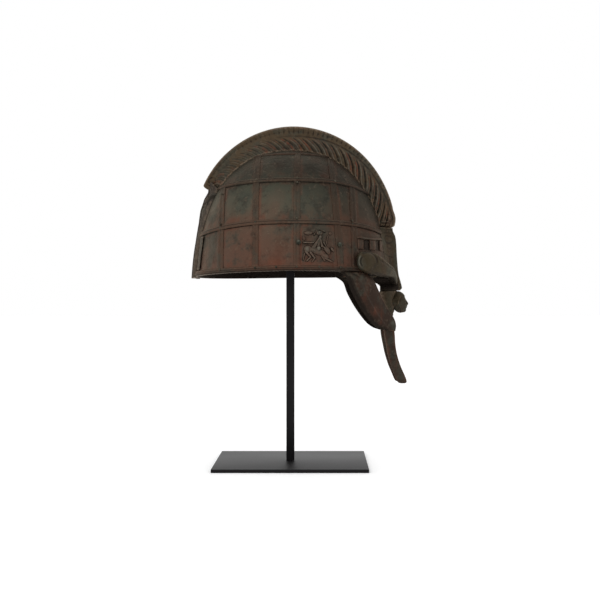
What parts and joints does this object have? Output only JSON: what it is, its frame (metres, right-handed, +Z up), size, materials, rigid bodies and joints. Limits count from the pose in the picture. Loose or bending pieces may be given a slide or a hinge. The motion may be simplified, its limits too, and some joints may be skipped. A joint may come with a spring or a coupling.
{
  "type": "vendel helmet on stand",
  "caption": "Domed metal helmet with a roped crest, strap lattice, heavy brows, nasal and cheek guards, held up by a plain square post on a flat plate.",
  "frame": {"origin": "centre of the base plate's underside", "axes": "+X towards the helmet's front, +Z up, +Y towards the wearer's left"},
  "size_m": [0.2594, 0.1908, 0.4043],
  "materials": {
    "stand_paint": "satin black",
    "skull_metal": "dark brown patina",
    "strap_metal": "red brown patina",
    "rivet_metal": "worn green patina",
    "crest_metal": "olive patina, worn",
    "face_metal": "olive patina",
    "guard_metal": "red brown patina"
  },
  "bodies": {
    "root": {"base_plate": "stand_paint", "post": "stand_paint", "skull": "skull_metal", "crest": "crest_metal", "crest_head_front": "crest_metal", "crest_head_rear": "crest_metal", "spine_strip": "strap_metal", "forehead_ridge": "face_metal", "nasal": "face_metal", "rim_band_right": "strap_metal", "lower_girdle_right": "strap_metal", "upper_rib_right": "strap_metal", "top_rail_right": "strap_metal", "strap_1_right": "strap_metal", "strap_2_right": "strap_metal", "strap_3_right": "strap_metal", "strap_4_right": "strap_metal", "strap_5_right": "strap_metal", "boss_rivet_1_right": "rivet_metal", "boss_rivet_2_right": "rivet_metal", "rider_relief_right": "skull_metal", "brow_ledge_right": "face_metal", "brow_right": "face_metal", "cheek_guard_right": "guard_metal", "cheek_tongue_right": "guard_metal", "rim_band_left": "strap_metal", "lower_girdle_left": "strap_metal", "upper_rib_left": "strap_metal", "top_rail_left": "strap_metal", "strap_1_left": "strap_metal", "strap_2_left": "strap_metal", "strap_3_left": "strap_metal", "strap_4_left": "strap_metal", "strap_5_left": "strap_metal", "boss_rivet_1_left": "rivet_metal", "boss_rivet_2_left": "rivet_metal", "rider_relief_left": "skull_metal", "brow_ledge_left": "face_metal", "brow_left": "face_metal", "cheek_guard_left": "guard_metal", "cheek_tongue_left": "guard_metal"}
  },
  "joints": []
}
